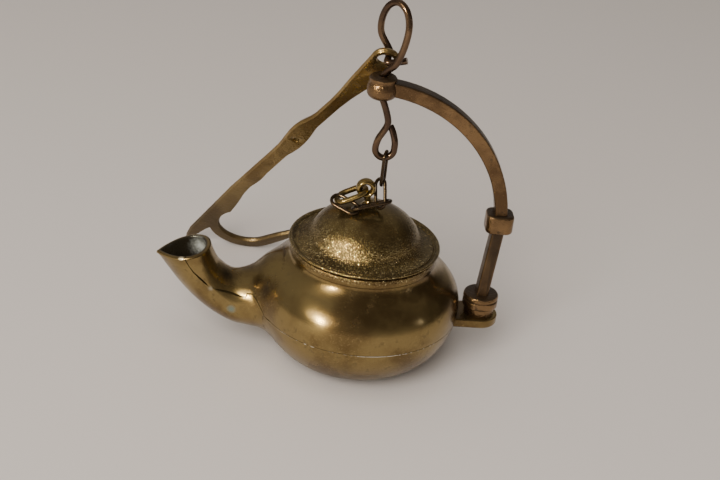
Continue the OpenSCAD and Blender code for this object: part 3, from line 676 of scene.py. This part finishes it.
def build_lid_eye():
    tube = EYE_WIRE_D / 2
    outline = [(0, -LID_WALL - 1), (1.0, -LID_WALL - 0.95), (1.6, -LID_WALL - 0.8), (2.0, -LID_WALL - 0.35),
               (2.1, -LID_WALL), (POST_R, -LID_WALL), (POST_R, 0), (2.4, 0), (2.35, 0.25), (2.2, 0.5), (1.95, 0.72),
               (1.7, 0.9), (1.5, 1.2), (POST_R - 0.1, 1.6), (0, 1.6)]
    post = turned("lid_eye_skin", outline, 48)
    neck = turned("neck", [(0, 0.4), (1.15, 0.4), (1.05, 2.2), (1.2, EYE_RISE - EYE_HOLE_R - tube + 0.5),
                           (0, EYE_RISE - EYE_HOLE_R - tube + 0.5)], 40)
    big = EYE_HOLE_R + tube
    deep = 1.7
    eye = skinned("eye", [[((big + tube * cos(b)) * cos(a), deep * sin(b), (big + tube * cos(b)) * sin(a) + EYE_RISE)
                           for b in range(0, 360, 12)] for a in range(0, 360, 6)], closed=True)
    join_by(neck, eye, "UNION")
    neck.data.transform(turn_of(0, -EYE_LEAN, 0).to_4x4())
    join_by(post, neck, "UNION")
    post.data.transform(Matrix.Translation((0, 0, CROWN_Z)))
    finish_piece(post, "lid", ring_brass, "brass_dark", "lid_eye", sharp=50)


EYE_CENTRE = Vector((-EYE_RISE * sin(EYE_LEAN), 0, CROWN_Z + EYE_RISE * cos(EYE_LEAN)))
RING_LENGTH = RING_LEN + RING_D
RING_START = Vector((EYE_CENTRE.x, 0, EYE_CENTRE.z - EYE_HOLE_R + RING_D / 2 + 0.1))
RING_END = RING_START - RING_LENGTH * Vector((cos(RING_SLOPE), 0, sin(RING_SLOPE)))


def build_ring():
    turn = turn_of(0, -RING_SLOPE, 0)
    path = [RING_START + turn @ p for p in link_path(RING_LENGTH, RING_W + RING_D, 20)]
    ring = wire("lid_ring_skin", path, True, RING_D / 2, ring_brass, sides=24)
    finish_piece(ring, "ring", ring_brass, "brass_shell", "lid_ring", sharp=60)


def far_end(start, turn, length):
    return start + turn_of(*turn) @ Vector((-length, 0, 0))


def build_chain():
    turns = {1: (78, -80, -96), 4: (149, -11, 148), 3: (-162, 16, -176), 2: (52, 55, -84)}
    lengths = {1: LONG_LINK, 2: SHORT_LINK, 3: LONG_LINK, 4: SHORT_LINK}
    starts = {1: Vector((SWIVEL_X, 0, SWIVEL_Z)) + Vector((0.55, -0.3, 2)), 4: RING_END + Vector((-1.35, -0.45, 1))}
    starts[3] = far_end(starts[4], turns[4], lengths[4]) + Vector((-1.55, 0.65, 0.3))
    starts[2] = far_end(starts[3], turns[3], lengths[3]) + Vector((-2.85, 0.45, -3.05))
    for k in (1, 2, 3, 4):
        turn = turn_of(*turns[k])
        path = [starts[k] + turn @ p for p in link_path(lengths[k], LINK_W)]
        link = wire(f"link_{k}_skin", path, True, CHAIN_D / 2, chain_wire)
        finish_piece(link, f"chain_{k}", chain_wire, "chain_brown", f"link_{k}", sharp=60)


# Swivel

def arm_axes():
    turn = turn_of(0, 0, ARM_AZIMUTH) @ turn_of(0, ARM_DIP, 0) @ turn_of(ARM_ROLL, 0, 0)
    return turn


HANG = Vector((1, HANG_BACK, BOSS_Z + HANG_RISE))


def build_swivel():
    z0, z = BOSS_Z - BOSS_H, HANG.z
    normal = arm_axes() @ Vector((0, 0, 1))
    top = [(0, 0, BOSS_Z - 1), (0, 0, BOSS_Z), (1.3, -1.2, BOSS_Z + 2.4), (3.1, -2.6, z - 0.3), (4.6, -3.4, z + 4.6),
           (5.4, -3.5, z + 9.6), (5.3, -2.9, z + 13.2), (4.2, -1.7, z + 16.2), (2.2, 0.3, z + 17.6),
           (0.1, 2.2, z + 16.5), (-1.3, 3.6, z + 13.9), (-2, 4.9, z + 10), (-1.5, 5.7, z + 5.8), HANG + 2.6 * normal,
           HANG, HANG - 2.3 * normal, (3.4, 0, z - 0.8), (6.4, -0.6, z + 0.2)]
    # The wire's end comes up behind the foot of the shank and closes the drop-shaped eye
    r = SWIVEL_W / 2
    low = SWIVEL_Z + r
    eye = [(SWIVEL_X + 0.95, 1.55, low + 7.3), (SWIVEL_X + 1.7, 1.1, low + 6.1), (SWIVEL_X + 2.45, 0.5, low + 4.2),
           (SWIVEL_X + 2.9, 0.1, low + 2.2)]
    eye += [(SWIVEL_X + r * cos(a), 0, low + r * sin(a)) for a in range(0, -181, -20)]
    eye += [(SWIVEL_X - r + 0.15, 0, low + 1.6), (SWIVEL_X - 2.2, 0, low + 3.6), (SWIVEL_X - 1.15, 0, low + 5.6),
            (SWIVEL_X - 0.3, 0, low + 7.4)]
    shank = [(SWIVEL_X + 0.05, 0, low + 9), (2.55, 0, z0 - 6.1), (1.75, 0, z0 - 3.7), (0.85, 0, z0 - 1.5),
             (0.15, 0, z0 + 0.1), (0, 0, z0 + 1.6), (0, 0, BOSS_Z - 3)]
    path = smooth_curve(eye + shank + top, 8)
    swivel = wire("swivel_skin", path, False, SWIVEL_D / 2, drawn_wire, sides=24)
    finish_piece(swivel, "swivel", drawn_wire, "wire_brown", "swivel_wire", sharp=60)


# Arch

UPRIGHT = Matrix(((1, 0, 0, 0), (0, 0, -1, 0), (0, 1, 0, 0), (0, 0, 0, 1)))


def build_arch():
    arch_z = BOSS_Z - 1.2 - ARCH_R
    inner_r, inner_x, inner_z = ARCH_R - 3, ARCH_X - 0.8, arch_z - ARCH_T + 3
    low = KNUCKLE_Z - 1
    outer_end = math.degrees(math.asin((low - arch_z) / ARCH_R))
    inner_end = math.degrees(math.asin((low - inner_z) / inner_r))
    start = math.degrees(math.acos((0 - ARCH_X) / ARCH_R))
    inner_start = math.degrees(math.acos((0 - inner_x) / inner_r))
    band = arc(inner_x, inner_z, inner_r, inner_start, inner_end, 48) + arc(ARCH_X, arch_z, ARCH_R, outer_end, start, 48)
    band.reverse()
    area = sum(a[0] * b[1] - b[0] * a[1] for a, b in zip(band, band[1:] + band[:1]))
    if area < 0:
        band.reverse()
    arch = plate("arch_skin", band, BAR_D, rounded(0.5), UPRIGHT)
    knuckle_x = ARCH_X + ARCH_R - ARCH_T / 2
    foot_z = LUG_TOP + JOINT_H
    bar_z = foot_z + BLOCK_H + CAP_H
    w = BAR_T / 2
    bar = [(LUG_X - w, bar_z - 1), (LUG_X + w, bar_z - 1), (knuckle_x + w, KNUCKLE_Z - KNUCKLE_H + 1),
           (knuckle_x - w, KNUCKLE_Z - KNUCKLE_H + 1)]
    join_by(arch, plate("bar", bar, BAR_D, rounded(0.6), UPRIGHT), "UNION")
    q = 2.4
    corners = [(1, 1, 0), (-1, 1, 90), (-1, -1, 180), (1, -1, 270)]
    outline = [p for sx, sy, a in corners
               for p in arc(sx * (KNUCKLE_W / 2 - q), sy * (KNUCKLE_D / 2 - q), q, a, a + 90, 8)]
    middle = Matrix.Translation((knuckle_x, 0, KNUCKLE_Z - KNUCKLE_H / 2))
    join_by(arch, plate("knuckle", outline, KNUCKLE_H, rounded(0.9), middle), "UNION")
    base = BOSS_Z - BOSS_H
    boss = [(0, base), (BOSS_R - 1.8, base), (BOSS_R - 1.1, base + 0.15), (BOSS_R - 0.55, base + 0.6),
            (BOSS_R - 0.2, base + 1.3), (BOSS_R - 0.02, base + 2.2), (BOSS_R, base + 3.1), (BOSS_R - 0.12, base + 4),
            (BOSS_R - 0.4, base + 4.8), (BOSS_R - 0.56, base + 5.2), (BOSS_R - 0.56, base + 5.5),
            (BOSS_R - 0.42, base + 5.9), (BOSS_R - 0.5, base + 6.4), (BOSS_R - 0.85, base + 6.8),
            (BOSS_R - 1.5, BOSS_Z), (0, BOSS_Z)]
    join_by(arch, turned("boss", boss, 96), "UNION")
    cap = [(0, bar_z - CAP_H - 0.01), (FOOT_R - 0.4, bar_z - CAP_H - 0.01), (FOOT_R, bar_z - CAP_H + 0.4),
           (FOOT_R, bar_z - 0.8), (FOOT_R - 0.25, bar_z - 0.25), (FOOT_R - 0.8, bar_z), (0, bar_z)]
    neck = [(0, LUG_TOP), (JOINT_R - 0.1, LUG_TOP), (JOINT_R, LUG_TOP + 0.2), (JOINT_R, foot_z + 0.01), (0, foot_z + 0.01)]
    wide = FOOT_R * 0.86
    side = math.degrees(math.asin(0.86))
    block = arc(0, 0, FOOT_R, -side, side, 20) + arc(0, 0, FOOT_R, 180 - side, 180 + side, 20)
    for part in (turned("cap", cap, 72), turned("foot_neck", neck, 72),
                 plate("block", block, BLOCK_H, rounded(0.5), Matrix.Translation((0, 0, foot_z + BLOCK_H / 2)))):
        part.data.transform(Matrix.Translation((LUG_X, 0, 0)))
        join_by(arch, part, "UNION")
    bore_r = SWIVEL_D / 2 + 0.15
    bore = [(0, BOSS_Z - BOSS_H - 1), (bore_r + 0.5, BOSS_Z - BOSS_H - 1), (bore_r + 0.4, BOSS_Z - BOSS_H - 0.01),
            (bore_r, BOSS_Z - BOSS_H + 0.5), (bore_r, BOSS_Z - 0.5), (bore_r + 0.4, BOSS_Z + 0.01),
            (bore_r + 0.5, BOSS_Z + 1), (0, BOSS_Z + 1)]
    join_by(arch, turned("bore", bore, 64), "DIFFERENCE")
    rivet = turned("rivet_bore", [(0, LUG_TOP - 1), (RIVET_R, LUG_TOP - 1), (RIVET_R, foot_z + BLOCK_H),
                                  (0, foot_z + BLOCK_H)], 48)
    rivet.data.transform(Matrix.Translation((LUG_X, 0, 0)))
    join_by(arch, rivet, "DIFFERENCE")
    finish_piece(arch, LAMP, forged_brass, "brass_dark", "arch")


def build_rivet():
    z0 = LUG_TOP - LUG_T
    outline = [(0, z0 - RIVET_HEAD_H), (1.4, z0 - RIVET_HEAD_H + 0.06), (RIVET_HEAD_R - 1.2, z0 - RIVET_HEAD_H + 0.25),
               (RIVET_HEAD_R - 0.6, z0 - RIVET_HEAD_H + 0.55), (RIVET_HEAD_R - 0.2, z0 - 0.6), (RIVET_HEAD_R, z0 - 0.2),
               (RIVET_HEAD_R, z0), (RIVET_R, z0), (RIVET_R, LUG_TOP + JOINT_H + BLOCK_H - 0.3),
               (0, LUG_TOP + JOINT_H + BLOCK_H - 0.3)]
    rivet = turned("foot_rivet_skin", outline, 64)
    rivet.data.transform(Matrix.Translation((LUG_X, 0, 0)))
    finish_piece(rivet, LAMP, forged_brass, "brass_dark", "foot_rivet")


# Hanger arm

def build_arm():
    knot_end = NECK_LEN + KNOT_LEN
    hook = Vector((HOOK_U, -HOOK_R - 3.5))
    outer_r = HOOK_R + HOOK_W
    hole_u = EYE_HOLE - SWIVEL_D / 2 - 0.15
    eye = arc(hole_u, 0, EYE_R, 78, 282, 40)
    lower = [(3.5, -EYE_R + 0.2), (16, -NECK_W * 0.85), (24, -NECK_W * 0.6), (30, -NECK_W / 2 - 0.05),
             (NECK_LEN + 1, -NECK_W / 2), (NECK_LEN + 4, -NECK_W / 2 - 0.4), (NECK_LEN + 6.5, -KNOT_W / 2 + 0.65),
             (knot_end - 8, -KNOT_W / 2 + 0.3), (knot_end - 5.5, -KNOT_W / 2 + 0.12), (knot_end - 3, -KNOT_W / 2 + 0.1),
             (knot_end - 1, -KNOT_W / 2 + 0.25), (knot_end + 1, -KNOT_W / 2 + 0.5), (knot_end + 3, -BAR_W / 2 - 0.1)]
    under = [(knot_end + 5, -BAR_W / 2 + 0.1), (HOOK_U - 35, -BAR_W / 2), (HOOK_U - 31, -BAR_W / 2 - 0.3),
             (HOOK_U - 28, -BAR_W / 2 - 0.2), (HOOK_U - 24, -BAR_W / 2 + 0.3), (HOOK_U - 20, -BAR_W / 2 + 0.1),
             (HOOK_U - 17, -BAR_W / 2 - 0.2), (HOOK_U - 13, -3.7), (HOOK_U - 9, -4.3)]
    inner = arc(HOOK_U, hook.y, HOOK_R, 120, HOOK_OPEN - 90, 40)
    tip = [(-6, -0.2 - HOOK_R), (-12, -0.9 - HOOK_R), (-14.6, -2 - HOOK_R), (-15, -2.5 - HOOK_R),
           (-14.6, -3 - HOOK_R), (-12, 0.4 - outer_r), (-6, 0.05 - outer_r)]
    opened = Matrix.Rotation(math.radians(HOOK_OPEN), 2)
    tip = [tuple(hook + opened @ Vector(p)) for p in tip]
    outer = arc(HOOK_U, hook.y, outer_r, HOOK_OPEN - 90, 42, 36)
    spike = [(HOOK_U + 11.4, -3.25), (SPIKE_U - 7, -SPIKE_W / 2 - 0.5), (SPIKE_U - 2, -1.6), (SPIKE_U - 0.4, -1.0),
             (SPIKE_U, -0.5), (SPIKE_U - 0.4, 0.1), (SPIKE_U - 2, 0.7), (SPIKE_U - 7, SPIKE_W / 2 - 0.5)]
    upper = [(HOOK_U - 2, BAR_W / 2 - 0.4), (HOOK_U - 17, BAR_W / 2 + 0.2), (knot_end + 8, BAR_W / 2 + 0.1),
             (knot_end + 1.5, BAR_W / 2 + 0.2), (knot_end - 2, BAR_W / 2 + 0.6), (knot_end - 4, KNOT_W / 2 - 0.1),
             (NECK_LEN + 11, KNOT_W / 2 + 0.1), (NECK_LEN + 9.3, KNOT_W / 2 + 0.33), (NECK_LEN + 7.5, KNOT_W / 2 + 0.38),
             (NECK_LEN + 5.5, KNOT_W / 2 + 0.3), (NECK_LEN + 3, KNOT_W / 2), (NECK_LEN + 0.8, KNOT_W / 2 - 0.6),
             (NECK_LEN - 1, NECK_W / 2 + 0.45), (NECK_LEN - 2.7, NECK_W / 2 + 0.15), (NECK_LEN - 4.5, NECK_W / 2),
             (30, NECK_W / 2), (24, NECK_W * 0.58), (16, NECK_W * 0.78), (3.5, EYE_R - 0.2)]
    outline = eye + lower + under + inner + tip + outer + spike + upper
    # Hammered section: the flanks slope, and the arris between face and flank stays crisp
    flanks = [(0.62, 0), (0.46, 0.02), (0.4, 0.1), (0.24, 0.42), (0.06, 0.8), (0, 0.92)]
    arm = plate("hanger_arm_skin", outline, ARM_T, flanks)
    for u, r in ((hole_u, EYE_HOLE), (NECK_LEN + 0.66 * KNOT_LEN, KNOT_HOLE)):
        h = ARM_T / 2
        cut = [(0, -h - 1), (r + 0.35, -h - 1), (r + 0.3, -h - 0.01), (r + 0.08, -h + 0.12), (r, -h + 0.35),
               (r, h - 0.35), (r + 0.08, h - 0.12), (r + 0.3, h + 0.01), (r + 0.35, h + 1), (0, h + 1)]
        hole = turned("hole", cut, 64)
        hole.data.transform(Matrix.Translation((u, 0, 0)))
        join_by(arm, hole, "DIFFERENCE")
    arm.data.transform(Matrix.Translation(HANG) @ arm_axes().to_4x4())
    finish_piece(arm, "hanger", beaten_brass, "brass_dark", "hanger_arm")


# Floor and light

def build_stage():
    size = 6.0
    corners = [(-size, -size, 0), (size, -size, 0), (size, size, 0), (-size, size, 0)]
    floor = solid("floor", corners, [(0, 1, 2, 3)], False)
    paper = bpy.data.materials.new("pale_paper")
    paper.use_nodes = True
    shader = paper.node_tree.nodes["Principled BSDF"]
    shader.inputs["Base Color"].default_value = colour("#d8d3ce")
    shader.inputs["Roughness"].default_value = 0.8
    floor.data.materials.append(paper)


def area_light(name, azimuth, elevation, distance, size, power, tint, glossy=True, diffuse=True):
    """A round soft light that looks at the lamp from the given direction."""
    data = bpy.data.lights.new(name, "AREA")
    data.shape = "DISK"
    data.size = size
    data.energy = power
    data.color = colour(tint)[:3]
    away = Vector((cos(elevation) * cos(azimuth), cos(elevation) * sin(azimuth), sin(elevation)))
    light = bpy.data.objects.new(name, data)
    place = Matrix.Translation(away * distance + Vector((0, 0, 0.03)))
    light.matrix_world = place @ (-away).to_track_quat("-Z", "Y").to_matrix().to_4x4()
    light.visible_glossy = glossy
    light.visible_diffuse = diffuse
    bpy.context.scene.collection.objects.link(light)


def dark_wall(tree, ray, direction, near, far, tone, shade):
    """Darkens the room round one direction."""
    along = add(tree, "ShaderNodeVectorMath", {0: ray, 1: direction}, operation="DOT_PRODUCT").outputs["Value"]
    return blend_colour(tree, fade(tree, along, far, near), tone, colour(shade))


def build_light():
    area_light("window", -135, 23, 1.2, 0.11, 17, "#fff0cc", diffuse=False)
    area_light("window_wall", -138, 30, 1.3, 0.7, 5, "#fff0d4", diffuse=False)
    area_light("small_window", -19, 17, 1.2, 0.04, 0.14, "#f4f4ff", diffuse=False)
    area_light("daylight", -112, 36, 1.3, 0.8, 19, "#fff7f0", glossy=False)
    area_light("overhead", -120, 70, 1.2, 0.9, 4, "#fff6ee", glossy=False)
    world = bpy.data.worlds.new("room")
    world.use_nodes = True
    tree = world.node_tree
    ray = add(tree, "ShaderNodeTexCoord").outputs["Generated"]
    height = add(tree, "ShaderNodeSeparateXYZ", {"Vector": ray}).outputs["Z"]
    tone = blend_colour(tree, fade(tree, height, 0.1, 0.8), colour("#8f8983"), colour("#a09b95"))
    tone = dark_wall(tree, ray, (0.45, -0.45, 0.77), 0.93, 0.62, tone, "#57504a")
    tone = dark_wall(tree, ray, (0.95, 0.26, 0.17), 0.95, 0.7, tone, "#3a342f")
    tree.links.new(tone, tree.nodes["Background"].inputs["Color"])
    bpy.context.scene.world = world


add_camera()
build_shells()
build_lid()
build_lid_eye()
build_ring()
build_chain()
build_swivel()
build_arch()
build_rivet()
build_arm()
build_stage()
build_light()
